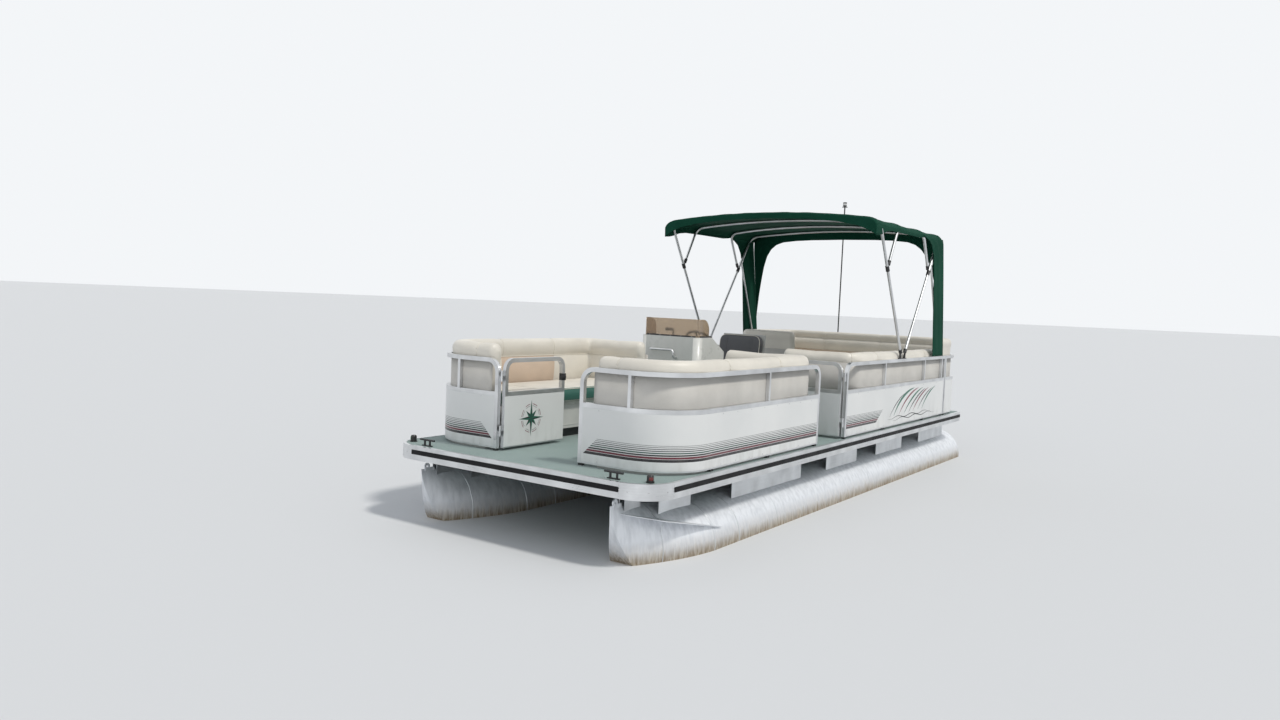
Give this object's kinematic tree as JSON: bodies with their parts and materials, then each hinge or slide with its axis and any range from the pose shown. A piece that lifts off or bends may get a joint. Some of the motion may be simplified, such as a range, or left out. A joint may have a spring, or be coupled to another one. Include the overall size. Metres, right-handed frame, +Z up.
{
  "type": "pontoon boat",
  "caption": "Pontoon boat with two round tubes, fenced deck with gates, lounge seats, helm console, swivel chair, bimini top and tilting, steered outboard motor.",
  "frame": {"origin": "middle of the boat's box in plan, level with the undersides of the two keels", "axes": "+X forward, +Y to port, +Z up"},
  "size_m": [7.604, 2.448, 3.404],
  "materials": {
    "tube_aluminium": "bare, brushed by use, stained at the waterline",
    "riser_aluminium": "bare, dull",
    "rail_aluminium": "anodised",
    "trim_aluminium": "anodised",
    "rub_rubber": "matt",
    "deck_carpet": "plywood under grey-green carpet",
    "panel_paint": "satin off-white",
    "black_plastic": "matt",
    "seat_base_plastic": "moulded, light grey",
    "seat_vinyl": "cream vinyl with green fronts",
    "console_plastic": "light grey gelcoat",
    "screen_acrylic": "brown smoked acrylic",
    "pedestal_metal": "brushed",
    "chair_plastic": "moulded",
    "chair_vinyl": "charcoal vinyl with cream piping",
    "canopy_cloth": "woven acrylic, forest green",
    "motor_paint": "satin black",
    "cowl_plastic": "gloss black",
    "fitting_chrome": "polished",
    "light_plastic": "gloss"
  },
  "bodies": {
    "hull": {"pontoon_port": "tube_aluminium", "pontoon_starboard": "tube_aluminium", "risers": "riser_aluminium", "cross_members": "riser_aluminium", "motor_pod": "riser_aluminium", "deck": "deck_carpet", "deck_trim": "trim_aluminium", "corner_caps": "trim_aluminium", "rub_inserts": "rub_rubber", "fence_bow_port": "rail_aluminium", "fence_bow_starboard": "rail_aluminium", "fence_aft_port": "rail_aluminium", "fence_aft_starboard": "rail_aluminium", "fence_stern": "rail_aluminium", "fence_panels": "panel_paint", "fence_feet": "black_plastic", "seat_base_bow_port": "seat_base_plastic", "seat_base_bow_starboard": "seat_base_plastic", "seat_base_aft": "seat_base_plastic", "seat_cushions_fixed": "seat_vinyl", "backrest_bow_port": "seat_vinyl", "backrest_bow_starboard": "seat_vinyl", "backrest_aft_port": "seat_vinyl", "backrest_stern": "seat_vinyl", "console_body": "console_plastic", "windscreen": "screen_acrylic", "console_rail": "fitting_chrome", "helm_pedestal": "pedestal_metal", "bimini_main_bows": "rail_aluminium", "bimini_second_bows": "rail_aluminium", "bimini_fittings": "black_plastic", "bimini_rear_poles": "rail_aluminium", "bimini_canopy": "canopy_cloth", "canopy_legs": "canopy_cloth", "outboard_bracket": "motor_paint", "cleats": "black_plastic", "nav_lights": "light_plastic", "stern_light": "light_plastic"},
    "bow_gate": {"gate_bow_frame": "rail_aluminium", "gate_bow_panel": "panel_paint"},
    "port_gate": {"gate_port_frame": "rail_aluminium", "gate_port_panel": "panel_paint"},
    "bow_port_lid": {"seat_lid_bow_port": "seat_vinyl"},
    "bow_starboard_lid": {"seat_lid_bow_starboard": "seat_vinyl"},
    "aft_port_lid": {"seat_lid_aft_port": "seat_vinyl"},
    "helm_chair": {"helm_chair_shell": "chair_plastic", "helm_chair_cushion": "chair_vinyl"},
    "wheel": {"steering_wheel": "black_plastic"},
    "motor_tilt_frame": {"outboard_swivel": "motor_paint"},
    "motor": {"outboard_leg": "motor_paint", "outboard_cowl": "cowl_plastic"},
    "prop": {"propeller": "motor_paint"}
  },
  "joints": [
    {"name": "bow_gate_hinge", "type": "hinge", "parent": "hull", "child": "bow_gate", "pos_m": [3.482, -0.365, 1.204], "axis": [0, 0, 1], "range_deg": [-90, 0]},
    {"name": "port_gate_hinge", "type": "hinge", "parent": "hull", "child": "port_gate", "pos_m": [0.673, 1.164, 1.204], "axis": [0, 0, 1], "range_deg": [0, 90]},
    {"name": "bow_port_lid_hinge", "type": "hinge", "parent": "hull", "child": "bow_port_lid", "pos_m": [2.148, 1.0047, 1.284], "axis": [-1, 0, 0], "range_deg": [0, 80]},
    {"name": "bow_starboard_lid_hinge", "type": "hinge", "parent": "hull", "child": "bow_starboard_lid", "pos_m": [2.228, -1.0047, 1.284], "axis": [1, 0, 0], "range_deg": [0, 80]},
    {"name": "aft_port_lid_hinge", "type": "hinge", "parent": "hull", "child": "aft_port_lid", "pos_m": [-0.472, 1.0047, 1.284], "axis": [-1, 0, 0], "range_deg": [0, 80]},
    {"name": "chair_swivel", "type": "hinge", "parent": "hull", "child": "helm_chair", "pos_m": [-0.332, -0.56, 1.184], "axis": [0, 0, 1], "continuous": true},
    {"name": "motor_tilt", "type": "hinge", "parent": "hull", "child": "motor_tilt_frame", "pos_m": [-3.297, 0, 0.872], "axis": [0, 1, 0], "range_deg": [0, 70]},
    {"name": "motor_steer", "type": "hinge", "parent": "motor_tilt_frame", "child": "motor", "pos_m": [-3.352, 0, 0.694], "axis": [0, 0, 1], "range_deg": [-35, 35]},
    {"name": "wheel_turn", "type": "hinge", "parent": "hull", "child": "wheel", "pos_m": [0.32229, -0.56, 1.61471], "axis": [-0.7071, 0, 0.7071], "range_deg": [-450, 450]},
    {"name": "prop_spin", "type": "hinge", "parent": "motor", "child": "prop", "pos_m": [-3.582, 0, 0.159], "axis": [1, 0, 0], "continuous": true}
  ],
  "couplings": [
    {"joint": "wheel_turn", "follows": "motor_steer", "ratio": -12.857}
  ]
}
